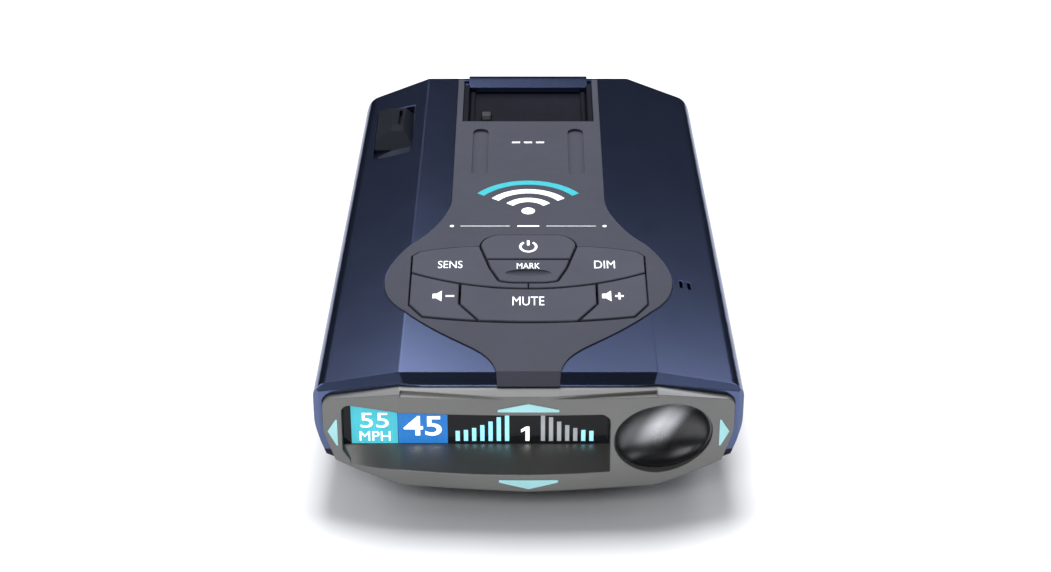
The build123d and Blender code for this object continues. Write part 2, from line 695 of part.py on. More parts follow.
def make_bottom_cover():
    outer = case_solid() & covers_plan() & block(-60, 60, -90, 90, -5, PARTING_Z - 0.02)
    shell = bevelled(outer, 0) - cavity() - bezel_socket()
    solid_floor = outer & block(-60, 60, -90, 90, -5, MAIN_TOP - BOARD - 0.05)
    for x, y in CASE_SCREWS:
        shell += disc(x, y, 0, 9.3, 3.6) & solid_floor
        shell -= disc(x, y, -1, HEAD_Z[1] + 0.05, 2.7)
        shell -= disc(x, y, -1, 12, 1.35)
    for x, y in BOARD_SCREWS:
        shell += disc(x, y, 0, MAIN_TOP - BOARD, 2.4) & outer
        shell -= disc(x, y, 5.4, 12, 0.95)
    x0, x1, y0, y1 = LABEL
    shell -= block(x0 - 0.2, x1 + 0.2, y0 - 0.2, y1 + 0.2, -1, 0.15)
    sx, sy = SPEAKER
    for step in range(-4, 5):
        half = (11.5 ** 2 - (step * 2.5) ** 2) ** 0.5
        slot = Pos(sx, sy + step * 2.5) * SlotOverall(2 * half, 1.1)
        shell -= prism(slot, -1, 3)
    return shell


# ---- boards, antennas, sensors and sockets ---------------------------------------------------

def make_main_board():
    outline = polygon((-35, -53), (35, -53), (32.5, 60), (-32.5, 60))
    board = prism(outline, MAIN_TOP - BOARD, MAIN_TOP)
    for x, y in CASE_SCREWS:
        board -= disc(x, y, 0, 20, 3.9)
    for x, y in BOARD_SCREWS:
        board -= disc(x, y, 0, 20, 1.1)
    return board


def horn(y_mouth, y_throat, x, z, mouth, throat, guide=10, wall=1.0):
    """A tapered rectangular horn, open at its mouth, with a closed waveguide block at its throat."""
    def taper(grow):
        wide = Pos(x, z) * Rectangle(mouth[0] + grow, mouth[1] + grow)
        narrow = Pos(x, z) * Rectangle(throat[0] + grow, throat[1] + grow)
        return loft([across(y_mouth, wide), across(y_throat, narrow)], ruled=True)
    y0, y1 = sorted((y_throat, y_throat - guide if y_mouth > y_throat else y_throat + guide))
    tail = block(x - throat[0] / 2 - wall, x + throat[0] / 2 + wall, y0, y1,
                 z - throat[1] / 2 - wall, z + throat[1] / 2 + wall)
    return taper(2 * wall) + tail - taper(0)


def make_shield(x0, x1, y0, y1, height):
    """A thin folded metal can soldered over a circuit."""
    can = block(x0, x1, y0, y1, MAIN_TOP, MAIN_TOP + height)
    can = fillet(can.edges().filter_by(Axis.Z), 0.6)
    return can - block(x0 + 0.3, x1 - 0.3, y0 + 0.3, y1 - 0.3, MAIN_TOP - 1, MAIN_TOP + height - 0.3)


def make_jacks():
    """Sockets on the main board whose noses reach into the right side wall."""
    body_end, nose_end = 36.0, 38.8
    power = block(23, body_end, POWER_Y - 5.8, POWER_Y + 5.8, MAIN_TOP, MAIN_TOP + 11)
    power += block(body_end, nose_end, POWER_Y - 5.35, POWER_Y + 5.35, MAIN_TOP + 1.35, MAIN_TOP + 9.25)
    power -= block(25, 40, POWER_Y - 4.8, POWER_Y + 4.8, MAIN_TOP + 2.0, MAIN_TOP + 8.6)
    data = block(30, body_end, DATA_Y - 4.5, DATA_Y + 4.5, MAIN_TOP, MAIN_TOP + 4.0)
    data += block(body_end, nose_end, DATA_Y - 4.5, DATA_Y + 4.5, MAIN_TOP + 0.9, MAIN_TOP + 4.0)
    data -= block(31, 40, DATA_Y - 3.9, DATA_Y + 3.9, MAIN_TOP + 1.3, MAIN_TOP + 3.6)
    data += block(31, 33.5, DATA_Y - 2.8, DATA_Y + 2.8, MAIN_TOP + 2.2, MAIN_TOP + 2.7)
    audio = block(27, body_end, AUDIO_Y - 3.2, AUDIO_Y + 3.2, MAIN_TOP, MAIN_TOP + 6)
    axis = Rot(0, 90, 0)
    audio += Pos(37.5, AUDIO_Y, AUDIO_Z) * axis * Cylinder(2.9, 4.6)
    audio -= Pos(39.8 - AUDIO_LENGTH / 2, AUDIO_Y, AUDIO_Z) * axis * Cylinder(AUDIO_R, AUDIO_LENGTH)
    return {"power_jack": power, "data_jack": data, "audio_jack": audio}


def make_front_sensor():
    dome = Sphere(11) & Pos(0, 0, 13.2) * Cylinder(4.8, 10)
    lens = Pos(-13.5, 54.2, 20) * Rot(-90, 0, 0) * dome
    holder = extrude(across(62.4, Pos(-13.5, 20) * Circle(5.6)), 3.6)
    holder -= extrude(across(63, Pos(-13.5, 20) * Circle(4.0)), 3.6)
    board = block(-19, -8, 57.4, 58.8, MAIN_TOP, 26)
    return {"front_laser_lens": lens, "front_laser_sensor": holder + board}


def make_chips():
    chips = [(0, -20, 12, 12), (-4, -38, 12, 8), (14, -14, 7, 7), (-6, -4, 6, 5)]
    solids = [block(x - w / 2, x + w / 2, y - d / 2, y + d / 2, MAIN_TOP, MAIN_TOP + 1.4) for x, y, w, d in chips]
    return Compound(solids)


def make_speaker():
    x, y = SPEAKER
    frame = disc(x, y, 3.0, 4.2, SPEAKER_R) + disc(x, y, 4.2, 5.2, 10.5) + disc(x, y, 5.2, 8.6, 8.0)
    frame -= disc(x, y, 2.9, 3.8, SPEAKER_R - 2)
    gasket = disc(x, y, WALL, 3.0, SPEAKER_R) - disc(x, y, 2, 4, SPEAKER_R - 1.6)
    wires = [speaker_wire(x - 8.05, y + gap) for gap in (-0.6, 0.6)]
    return {"speaker": frame, "speaker_gasket": gasket, "speaker_wires": Compound(wires)}


def speaker_wire(x, y):
    """Runs out of the magnet's side and up to the underside of the main board."""
    path = FilletPolyline((x, y, 6.8), (x - 8, y, 6.8), (x - 8, y, MAIN_TOP - BOARD), radius=1.2)
    return sweep(Plane(origin=path @ 0, z_dir=path % 0) * Circle(0.35), path=path)


def strip_cable(x0, x1, points):
    """A flat flexible cable, bent along (y, z) points."""
    path = FilletPolyline(*points, radius=1.2)
    return extrude(Plane.YZ.offset(x0) * trace(path.edges(), 0.3), x1 - x0)


def make_screws():
    low, high = HEAD_Z
    case = []
    for x, y in CASE_SCREWS:
        screw = disc(x, y, low, high, 2.4) + disc(x, y, high, 17, 1.2)
        screw -= block(x - 1.6, x + 1.6, y - 0.3, y + 0.3, low, low + 0.7)
        screw -= block(x - 0.3, x + 0.3, y - 1.6, y + 1.6, low, low + 0.7)
        case.append(screw)
    board = [disc(x, y, 5.6, MAIN_TOP, 0.9) + disc(x, y, MAIN_TOP, MAIN_TOP + 1.2, 1.9)
             for x, y in BOARD_SCREWS]
    return {"case_screws": Compound(case), "board_screws": Compound(board)}


def build():
    keys_outline = cluster_sketch()
    keys = key_sketches()
    points = stem_points(keys)
    blank = bezel_blank()
    x0, x1, y0, y1 = LABEL
    board_z = TOP.location.position.Z + BOARD_TOP - BOARD
    parts = {
        "top_cover": make_top_cover(keys_outline, points),
        "bottom_cover": make_bottom_cover(),
        "rear_bezel": make_bezel(blank),
        "rear_lens": make_rear_lens(blank),
        "control_panel": make_panel(keys_outline),
        "key_switches": make_switches(points),
        "release_button": make_release_button(),
        "latch_arm": make_latch(),
        "latch_springs": make_springs(),
        "front_window": make_front_window(),
        "main_board": make_main_board(),
        "front_horn": horn(64, 42, 8, HORN_Z, (25, 12), (9, 5)),
        "rear_horn": horn(-54.4, -40, 26.5, 16, (14.5, 7.6), (8, 4), guide=5),
        "microwave_shield": make_shield(-2, 18, 6, 29, 5),
        "wireless_shield": make_shield(-33, -19, -22, -6, 2.2),
        "satellite_antenna": fillet(block(-34, -16, 1, 19, MAIN_TOP, MAIN_TOP + 4).edges().filter_by(Axis.Z), 0.8),
        "processor_chips": make_chips(),
        "backup_capacitor": Pos(14, -29, MAIN_TOP + 4.0) * Rot(0, 90, 0) * Cylinder(4, 12),
        "rear_laser_sensor": block(24.3, 29.3, -58.4, -57.0, 21.9, 24.3),
        "key_cable": strip_cable(-9, -1, [(-10, board_z - 0.6), (-10, 17), (-8.5, 15), (-8.5, MAIN_TOP)]),
        "display_cable": strip_cable(-14, 2, [(-55.25, 13), (-50.5, 13), (-50.5, MAIN_TOP)]),
        "rating_label": block(x0, x1, y0, y1, 0, 0.15),
    }
    for name, face in keys.items():
        parts["key_" + name] = make_key(name, face, points[name])
        parts["plunger_" + name] = make_plunger(points[name])
    key_boards, board_fixings = make_key_board(points)
    parts["latch_bracket"], bracket_fixings = make_bracket()
    parts["small_screws"] = Compound([*board_fixings, *bracket_fixings])
    for group in (make_arrows(blank), make_display(), make_display_board(), key_boards,
                  make_dock(), make_jacks(), make_front_sensor(), make_speaker(), make_screws()):
        parts.update(group)
    return parts


os.makedirs("parts", exist_ok=True)
for node, shape in build().items():
    export_step(shape, f"parts/{node}.step")
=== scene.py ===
import json
from math import atan2, cos, hypot, pi, radians, sin

import bmesh
import bpy
from mathutils import Matrix, Vector

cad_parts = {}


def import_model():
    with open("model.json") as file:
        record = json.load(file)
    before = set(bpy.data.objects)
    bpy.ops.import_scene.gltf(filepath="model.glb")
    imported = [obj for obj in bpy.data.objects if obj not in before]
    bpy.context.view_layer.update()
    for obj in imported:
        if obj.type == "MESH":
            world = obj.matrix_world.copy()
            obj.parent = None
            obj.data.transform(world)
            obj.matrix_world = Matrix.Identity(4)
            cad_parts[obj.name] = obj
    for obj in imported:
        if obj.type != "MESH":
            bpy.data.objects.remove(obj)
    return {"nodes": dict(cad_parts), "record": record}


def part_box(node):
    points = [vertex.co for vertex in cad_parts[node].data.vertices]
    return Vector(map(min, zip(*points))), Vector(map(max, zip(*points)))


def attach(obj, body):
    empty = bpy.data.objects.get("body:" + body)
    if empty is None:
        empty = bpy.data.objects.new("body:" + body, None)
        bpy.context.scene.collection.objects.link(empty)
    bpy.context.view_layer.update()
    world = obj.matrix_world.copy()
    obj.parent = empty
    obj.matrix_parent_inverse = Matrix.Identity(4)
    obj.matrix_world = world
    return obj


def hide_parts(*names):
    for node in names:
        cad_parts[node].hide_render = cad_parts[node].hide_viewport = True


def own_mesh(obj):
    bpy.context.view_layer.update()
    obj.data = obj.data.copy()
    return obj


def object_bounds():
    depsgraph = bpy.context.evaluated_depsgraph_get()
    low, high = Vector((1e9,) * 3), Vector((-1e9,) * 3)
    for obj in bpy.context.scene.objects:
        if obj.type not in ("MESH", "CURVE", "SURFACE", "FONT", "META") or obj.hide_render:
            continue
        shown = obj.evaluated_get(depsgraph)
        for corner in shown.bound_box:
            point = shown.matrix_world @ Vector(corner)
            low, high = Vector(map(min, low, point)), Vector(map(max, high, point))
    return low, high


# Looks for the radar detector. Lengths are millimetres until they reach Blender, which is in metres.

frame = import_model()
cad_low, cad_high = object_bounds()

MM = 0.001
PRINT = 0.03                # thickness of a printed mark
CAPITAL = 0.7               # height of a capital letter, as a share of the font's size
WHITE = (0.86, 0.88, 0.90)
TEAL = (0.03, 0.33, 0.38)


# ---- material graphs -------------------------------------------------------------------------

class Graph:
    """A material's node tree around one Principled shader, with short ways to add nodes."""

    def __init__(self, name):
        self.material = bpy.data.materials.new(name)
        self.material.use_nodes = True
        self.tree = self.material.node_tree
        self.shader = self.tree.nodes["Principled BSDF"]
        self.place = self.add("ShaderNodeTexCoord").outputs["Object"]

    def feed(self, socket, value):
        if isinstance(value, bpy.types.NodeSocket):
            self.tree.links.new(value, socket)
        elif isinstance(value, tuple) and len(value) == 3 and socket.type == "RGBA":
            socket.default_value = (*value, 1)
        else:
            socket.default_value = value

    def add(self, kind, inputs=None, **settings):
        node = self.tree.nodes.new(kind)
        for name, value in settings.items():
            setattr(node, name, value)
        for name, value in (inputs or {}).items():
            self.feed(node.inputs[name], value)
        return node

    def set(self, name, value):
        self.feed(self.shader.inputs[name], value)

    def noise(self, scale, detail=3.0, stretch=(1, 1, 1)):
        """Noise with about scale features per metre, stretched along the axes."""
        place = self.add("ShaderNodeMapping", {"Vector": self.place, "Scale": stretch}).outputs[0]
        inputs = {"Vector": place, "Scale": scale, "Detail": detail}
        return self.add("ShaderNodeTexNoise", inputs).outputs[0]

    def remap(self, value, low, high, start=0.3, end=0.7):
        """Carry value from start..end to low..high."""
        ends = {"Value": value, "From Min": start, "From Max": end, "To Min": low, "To Max": high}
        return self.add("ShaderNodeMapRange", ends).outputs[0]

    def turned(self, angle, axis):
        """The place, turned by an angle in radians about axis 0, 1 or 2."""
        rotation = [0.0, 0.0, 0.0]
        rotation[axis] = angle
        inputs = {"Vector": self.place, "Rotation": tuple(rotation)}
        return self.add("ShaderNodeMapping", inputs).outputs[0]

    def mix(self, factor, first, second):
        node = self.add("ShaderNodeMix", data_type="RGBA")
        for index, value in ((0, factor), (6, first), (7, second)):
            self.feed(node.inputs[index], value)
        return node.outputs[2]

    def clouded(self, color, scale, spread):
        """A colour that wanders a little lighter and darker."""
        dark = tuple(c * (1 - spread) for c in color)
        light = tuple(c * (1 + spread) for c in color)
        return self.mix(self.remap(self.noise(scale), 0, 1), dark, light)

    def bump(self, height, depth, normal=None):
        """Bump of the given depth in millimetres."""
        node = self.add("ShaderNodeBump", {"Height": height, "Distance": depth * MM})
        if normal is not None:
            self.feed(node.inputs["Normal"], normal)
        return node.outputs[0]

    def soft_edges(self, radius):
        return self.add("ShaderNodeBevel", {"Radius": radius * MM}, samples=4).outputs[0]


def surface(name, color, rough, metal=0.0, cloud=70, spread=0.10, grain=2500, depth=0.01, edge=0.25,
            gloss=0.35):
    """A moulded, painted or plated surface: uneven colour and gloss, fine grain and softened edges."""
    graph = Graph(name)
    graph.set("Base Color", graph.clouded(color, cloud, spread))
    graph.set("Roughness", graph.remap(graph.noise(cloud * 4), rough - 0.05, rough + 0.05))
    graph.set("Metallic", metal)
    graph.set("Specular IOR Level", gloss)
    graph.set("Normal", graph.bump(graph.noise(grain), depth, graph.soft_edges(edge)))
    return graph


def cover_paint():
    """Navy metallic paint with fine flake under a clear coat."""
    navy = (0.125, 0.165, 0.32)
    graph = Graph("cover_paint")
    flake = graph.add("ShaderNodeTexVoronoi", {"Vector": graph.place, "Scale": 3600.0}).outputs["Color"]
    tone = graph.add("ShaderNodeSeparateColor", {"Color": flake}).outputs[0]
    base = graph.clouded(navy, 30, 0.02)
    graph.set("Base Color", graph.mix(graph.remap(tone, 0, 0.3, 0.5, 1.0), base, (0.18, 0.22, 0.38)))
    graph.set("Metallic", 0.97)
    graph.set("Roughness", graph.remap(graph.noise(120), 0.138, 0.146))
    graph.set("Normal", graph.soft_edges(0.35))
    graph.set("Coat Weight", 0.1)
    graph.set("Coat Roughness", 0.1)
    return graph.material


def soft_touch(name, color):
    """Rubbery soft-touch paint with a faint velvety edge light."""
    graph = surface(name, color, 0.58, spread=0.05, grain=5000, depth=0.012, edge=0.2, gloss=0.2)
    graph.set("Sheen Weight", 0.04)
    return graph.material


def gunmetal(name, color, rough, depth):
    """Satin metallic lacquer, very slightly brushed along its length."""
    graph = surface(name, color, rough, metal=0.75, cloud=45, spread=0.06, grain=7000, depth=depth,
                    edge=0.3)
    brushed = graph.noise(2600, 2.0, (0.06, 1, 1))
    graph.set("Roughness", graph.remap(brushed, rough - 0.015, rough + 0.02))
    return graph.material


def dish_metal():
    """Dark satin metal with a painted reflection, a light band from the upper right to the lower left, and
    painted shade towards the bottom.
    """
    graph = surface("lens_gunmetal", (0.1, 0.1, 0.1), 0.30, metal=0.9, spread=0.03, depth=0.0005,
                    edge=0.02)
    # Painted reflection: a light diagonal band laid into the base colour.
    distance = graph.add("ShaderNodeSeparateXYZ", {"Vector": graph.turned(radians(-31), 1)}).outputs[0]
    share = graph.remap(distance, 0, 1, -8 * MM, 8 * MM)
    painted_reflection_band = graph.add("ShaderNodeValToRGB", {"Fac": share})
    painted_reflection_band.color_ramp.interpolation = "EASE"
    for position, grey in ((0.22, 0.24), (0.47, 0.95), (0.56, 0.80), (0.74, 0.10)):
        painted_reflection_band.color_ramp.elements.new(position).color = (grey, grey, grey * 1.03, 1)
    for end in (0, -1):
        painted_reflection_band.color_ramp.elements[end].color = (0.14, 0.14, 0.145, 1)
    # Painted shade: the base colour darkens towards the bottom of the dish.
    upward = graph.add("ShaderNodeSeparateXYZ", {"Vector": graph.place}).outputs[2]
    painted_shade_low = graph.remap(upward, 0, 1, -6 * MM, 0)
    graph.set("Base Color", graph.mix(painted_shade_low, (0.04, 0.04, 0.042), painted_reflection_band.outputs[0]))
    return graph.material


def circuit_board():
    """Green solder mask with copper tracks showing through as a darker and lighter weave."""
    graph = surface("circuit_board", (0.015, 0.10, 0.045), 0.35, grain=3000, depth=0.008, edge=0.1)
    tracks = graph.add("ShaderNodeTexBrick", {
        "Vector": graph.place, "Scale": 260.0, "Mortar Size": 0.06,
        "Color1": (0.015, 0.10, 0.045), "Color2": (0.02, 0.14, 0.06), "Mortar": (0.05, 0.22, 0.09),
    })
    graph.set("Base Color", tracks.outputs["Color"])
    return graph.material


def lit(name, color, strength, pitch=0.0):
    """A lit surface; pitch, in millimetres, lays a pixel grid over it."""
    graph = Graph(name)
    glow = graph.clouded(color, 160, 0.08)
    if pitch:
        grid = graph.add("ShaderNodeTexBrick", {
            "Vector": graph.turned(-pi / 2, 0), "Scale": 1 / (pitch * MM),
            "Brick Width": 1.0, "Row Height": 1.0, "Mortar Size": 0.05,
            "Color1": (1, 1, 1), "Color2": (0.93, 0.93, 0.93), "Mortar": (0.72, 0.72, 0.72),
        }, offset=0.0)
        product = graph.add("ShaderNodeMix", data_type="RGBA", blend_type="MULTIPLY")
        for index, value in ((0, 1.0), (6, glow), (7, grid.outputs["Color"])):
            graph.feed(product.inputs[index], value)
        glow = product.outputs[2]
    graph.set("Base Color", glow)
    graph.set("Emission Color", glow)
    graph.set("Emission Strength", strength)
    graph.set("Roughness", 0.35)
    return graph.material


def ink(name, color):
    """Printed ink, a little uneven in cover, with a faint painted glow that brightens it under any light.
    """
    graph = surface(name, color, 0.45, cloud=900, spread=0.06, grain=6000, depth=0.004, edge=0.02)
    # Painted glow: the ink gives off a little light of its own.
    graph.set("Emission Color", color + (1,))
    graph.set("Emission Strength", 0.18)
    return graph.material


def plain(name, *values, **more):
    return surface(name, *values, **more).material


FINISHES = {
    "cover_blue": cover_paint(),
    "panel_soft": soft_touch("panel_soft", (0.042, 0.044, 0.060)),
    "key_soft": soft_touch("key_soft", (0.050, 0.053, 0.070)),
    "bezel_gunmetal": gunmetal("bezel_gunmetal", (0.25, 0.25, 0.24), 0.32, 0.0003),
    "lens_gunmetal": dish_metal(),
    "arrow_light": lit("arrow_light", (0.34, 0.64, 0.67), 0.42),
    "display_glass": plain("display_glass", (0.004, 0.005, 0.007), 0.08, spread=0.2, depth=0.001),
    "display_pixels": plain("display_pixels", (0.01, 0.01, 0.012), 0.3),
    "case_black": plain("case_black", (0.014, 0.015, 0.019), 0.48, grain=3500, depth=0.03, gloss=0.25),
    "button_black": plain("button_black", (0.008, 0.009, 0.013), 0.42, grain=4000, depth=0.015, gloss=0.08),
    "dock_dark": plain("dock_dark", (0.006, 0.0065, 0.010), 0.55, grain=4000, depth=0.01, gloss=0.08),
    "circuit_board": circuit_board(),
    "black_plastic": plain("black_plastic", (0.015, 0.015, 0.016), 0.45, depth=0.02),
    "inner_plastic": plain("inner_plastic", (0.03, 0.03, 0.033), 0.5, depth=0.02),
    "spring_steel": plain("spring_steel", (0.55, 0.55, 0.57), 0.3, metal=1.0, edge=0.05),
    "tinned_steel": plain("tinned_steel", (0.62, 0.62, 0.60), 0.35, metal=1.0, edge=0.1),
    "horn_alloy": plain("horn_alloy", (0.60, 0.60, 0.62), 0.45, metal=1.0, grain=1800, depth=0.03),
    "magnet": plain("magnet", (0.5, 0.5, 0.52), 0.22, metal=1.0),
    "lens_red": plain("lens_red", (0.035, 0.003, 0.005), 0.1, depth=0.001),
    "lens_clear": plain("lens_clear", (0.5, 0.5, 0.52), 0.08, depth=0.001),
    "led": plain("led", (0.8, 0.8, 0.68), 0.3),
    "ceramic": plain("ceramic", (0.55, 0.48, 0.36), 0.6, spread=0.15),
    "foil": plain("foil", (0.08, 0.09, 0.14), 0.3),
    "cable": plain("cable", (0.45, 0.25, 0.08), 0.35),
    "wire": plain("wire", (0.35, 0.02, 0.02), 0.4, edge=0.05),
    "speaker_frame": plain("speaker_frame", (0.02, 0.02, 0.02), 0.4, metal=0.3),
    "foam": plain("foam", (0.02, 0.02, 0.02), 0.9, grain=1500, depth=0.15),
    "label": plain("label", (0.42, 0.43, 0.45), 0.4, spread=0.04),
}

for subpart in frame["record"]["subparts"]:
    node_mesh = frame["nodes"][subpart["node"]].data
    node_mesh.materials.clear()
    node_mesh.materials.append(FINISHES[subpart["material_slot"]])

INK_WHITE = ink("ink_white", WHITE)
INK_TEAL = ink("ink_teal", TEAL)
INK_GREY = ink("ink_grey", (0.05, 0.05, 0.06))


# ---- flat shapes -----------------------------------------------------------------------------

def box_outline(x0, x1, y0, y1):
    return [(x0, y0), (x1, y0), (x1, y1), (x0, y1)]


def arc(x, y, radius, start, end, steps=24):
    """Points on an arc, angles in degrees."""
    turn = [radians(start + (end - start) * i / steps) for i in range(steps + 1)]
    return [(x + radius * cos(a), y + radius * sin(a)) for a in turn]


def stroke(points, width):
    """The outline of a line of the given width through the points."""
    left, right = [], []
    for i, (x, y) in enumerate(points):
        x0, y0 = points[max(i - 1, 0)]
        x1, y1 = points[min(i + 1, len(points) - 1)]
        length = hypot(x1 - x0, y1 - y0)
        across = (-(y1 - y0) / length * width / 2, (x1 - x0) / length * width / 2)
        left.append((x + across[0], y + across[1]))
        right.append((x - across[0], y - across[1]))
    return left + right[::-1]


def new_object(name, data, place=None):
    obj = bpy.data.objects.new(name, data)
    bpy.context.scene.collection.objects.link(obj)
    if place is not None:
        obj.matrix_world = place
    return obj


def finish_piece(obj, material, body):
    obj.data.materials.clear()
    obj.data.materials.append(material)
    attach(obj, body)
    return obj


def print_shapes(name, outlines, place, material, body, thickness=PRINT):
    """Thin raised shapes from flat outlines in millimetres, laid at place."""
    shape = bmesh.new()
    for outline in outlines:
        shape.faces.new([shape.verts.new((x * MM, y * MM, 0)) for x, y in outline])
    raised = bmesh.ops.extrude_face_region(shape, geom=shape.faces[:])["geom"]
    moved = [item for item in raised if isinstance(item, bmesh.types.BMVert)]
    bmesh.ops.translate(shape, verts=moved, vec=(0, 0, thickness * MM))
    bmesh.ops.recalc_face_normals(shape, faces=shape.faces)
    mesh = bpy.data.meshes.new(name)
    shape.to_mesh(mesh)
    shape.free()
    return finish_piece(new_object(name, mesh, place), material, body)


def print_text(name, words, height, width, place, material, body, weight=0.0):
    """Plain centred lettering: capitals of the given height, the whole word of the given width."""
    curve = bpy.data.curves.new(name, "FONT")
    curve.body = words
    curve.align_x = "CENTER"
    curve.align_y = "CENTER"
    curve.size = height * MM / CAPITAL
    curve.offset = weight * MM
    curve.extrude = PRINT / 2 * MM
    text = new_object(name, curve)
    bpy.context.view_layer.update()
    mesh = bpy.data.meshes.new_from_object(text)
    bpy.data.objects.remove(text)
    spread = [vertex.co.x for vertex in mesh.vertices]
    left, right = min(spread), max(spread)
    centring = Matrix.Translation((-(left + right) / 2, 0, 0))
    mesh.transform(Matrix.Diagonal((width * MM / (right - left), 1, 1, 1)) @ centring)
    return finish_piece(new_object(name, mesh, place), material, body)


def centre(node):
    low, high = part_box(node)
    return (low + high) / 2 / MM


# ---- marks on the top ------------------------------------------------------------------------

PLATEAU_RISE = 0.0332       # the flat top climbs towards the windscreen
KEY_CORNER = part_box("key_mute")[1] / MM     # the far upper corner of the mute key's box
KEY_PLANE = KEY_CORNER.z - PLATEAU_RISE * KEY_CORNER.y
PANEL_PLANE = KEY_PLANE - 0.30              # the panel is this much lower than the key tops


def on_top(x, y, plane, lift=0.0):
    """A place on the sloping top, given by its height at y = 0."""
    point = Vector((x, y, plane + PLATEAU_RISE * y + lift)) * MM
    return Matrix.Translation(point) @ Matrix.Rotation(atan2(PLATEAU_RISE, 1), 4, "X")


def key_place(key, dx=0.0, dy=0.0):
    spot = centre("key_" + key)
    return on_top(spot.x + dx, spot.y + dy, KEY_PLANE, 0.01)


def stretched(outlines, tall):
    """Marks on the top are drawn tall, so that they read well from the driver's low angle."""
    return [[(x, y * tall) for x, y in outline] for outline in outlines]


def speaker_icon(sign):
    """A small loudspeaker with a plus or minus."""
    shapes = [
        [(-2.3, -0.6), (-1.5, -0.6), (-0.4, -1.4), (-0.4, 1.4), (-1.5, 0.6), (-2.3, 0.6)],
        box_outline(0.4, 2.2, -0.22, 0.22),
    ]
    if sign == "up":
        shapes += [box_outline(1.08, 1.52, 0.22, 0.9), box_outline(1.08, 1.52, -0.9, -0.22)]
    return stretched(shapes, 1.5)


def power_icon():
    """An open ring with a bar in its gap."""
    ring = stroke(arc(0, 0, 1.7, 125, 415), 0.55)
    bar = box_outline(-0.28, 0.28, 0.4, 2.1)
    return stretched([ring, bar], 1.25)


def key_marks():
    """Each key's word or pictogram, riding on its key."""
    for key, words, height, width, dx, dy in (
        ("sensitivity", "SENS", 3.0, 5.2, -4.2, 0.6),
        ("brightness", "DIM", 3.2, 4.4, 3.8, 0.6),
        ("mark", "MARK", 2.4, 4.9, 0, 1.75),
        ("mute", "MUTE", 3.5, 6.6, 0, 0.3),
    ):
        place = key_place(key, dx, dy)
        print_text("print_" + key, words, height, width, place, INK_WHITE, "button_" + key)
    for key, outlines, dy in (
        ("volume_down", speaker_icon("down"), 0),
        ("volume_up", speaker_icon("up"), 0),
        ("power", power_icon(), -0.2),
    ):
        place = key_place(key, 0, dy)
        print_shapes("print_" + key, outlines, place, INK_WHITE, "button_" + key)


def panel_marks():
    """Radar arcs over a dot, a rule with end dots, and three small dashes."""
    dot_y, rule_y = 2.2, -4.55
    at = on_top(0, 0, PANEL_PLANE, 0.01)
    dot = arc(0, dot_y, 1.5, 0, 345)
    waves = [stroke(arc(0, dot_y, radius, 35, 145), 1.9) for radius in (5.0, 9.0, 13.0)]
    print_shapes("print_waves", [dot, *waves[:2]], at, INK_WHITE, "case")
    print_shapes("print_outer_wave", waves[2:], at, INK_TEAL, "case")
    rule = [box_outline(-2.4, 2.4, rule_y - 0.25, rule_y + 0.25)]
    for side in (-1, 1):
        rule.append(stroke([(side * 4, rule_y), (side * 14.8, rule_y)], 0.18))
        rule.append(arc(side * 16.7, rule_y, 0.45, 0, 330))
    rule += [box_outline(x - 0.95, x + 0.95, 34.4, 35.1) for x in (-2.8, 0, 2.8)]
    print_shapes("print_rule", rule, at, INK_WHITE, "case")


key_marks()
panel_marks()


# ---- display ---------------------------------------------------------------------------------

screen_low, screen_high = (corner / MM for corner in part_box("display_window"))


def on_screen(x, z, lift):
    """A place on the display window, measured from its lower left corner."""
    point = Vector((screen_low.x + x, screen_low.y - lift, screen_low.z + z)) * MM
    return Matrix.Translation(point) @ Matrix.Rotation(pi / 2, 4, "X")


def screen_shapes(name, outlines, material, lift=0.02):
    print_shapes("screen_" + name, outlines, on_screen(0, 0, lift), material, "case")


def bars(first, steps, pitch=1.65, width=0.85):
    """Signal bars on one foot line that climb with their step, from 0 to 6."""
    foot, shortest, climb = 1.35, 2.4, 4.4
    outlines = []
    for count, step in enumerate(steps):
        x = first + count * pitch
        top = foot + shortest + climb * (step / 6) ** 1.7
        outlines.append(box_outline(x - width / 2, x + width / 2, foot, top))
    return outlines


def display():
    """Lit readings: a speed tile, a limit tile, bars that fall away on both sides, and a count."""
    tile_teal = lit("tile_teal", (0.05, 0.42, 0.50), 0.9, 0.3)
    tile_blue = lit("tile_blue", (0.01, 0.15, 0.46), 0.9, 0.3)
    light_cyan = lit("bar_cyan", (0.30, 0.72, 0.86), 0.9)
    light_grey = lit("bar_grey", (0.36, 0.38, 0.40), 0.6)
    light_white = lit("digit_white", (0.95, 0.97, 0.98), 1.0)
    bottom, top = 0.8, screen_high.z - screen_low.z - 0.2
    front = 0.06
    screen_shapes("speed_tile", [box_outline(2.1, 11.4, bottom, top)], tile_teal)
    screen_shapes("limit_tile", [box_outline(11.5, 21.4, bottom, top)], tile_blue)
    screen_shapes("bars_left", bars(23.4, range(7)), light_cyan)
    right = bars(40.5, range(6, -1, -1), 1.62)
    screen_shapes("bars_right", right[:5], light_grey)
    screen_shapes("bars_last", right[5:], light_cyan)
    one = [(37.0, 1.4), (37.8, 1.4), (37.8, 4.8), (37.1, 4.8), (36.1, 4.1), (36.1, 3.4), (37.0, 3.9)]
    screen_shapes("count", [one], light_white, front)
    for name, words, height, width, x, z, weight in (
        ("speed", "55", 3.5, 5.6, 6.8, 6.1, 0.0),
        ("unit", "MPH", 2.3, 6.2, 6.8, 2.4, 0.0),
        ("limit", "45", 4.5, 7.6, 16.4, 4.7, 0.08),
    ):
        print_text("screen_" + name, words, height, width, on_screen(x, z, front),
                   light_white, "case", weight)


display()


# ---- rear dish -------------------------------------------------------------------------------

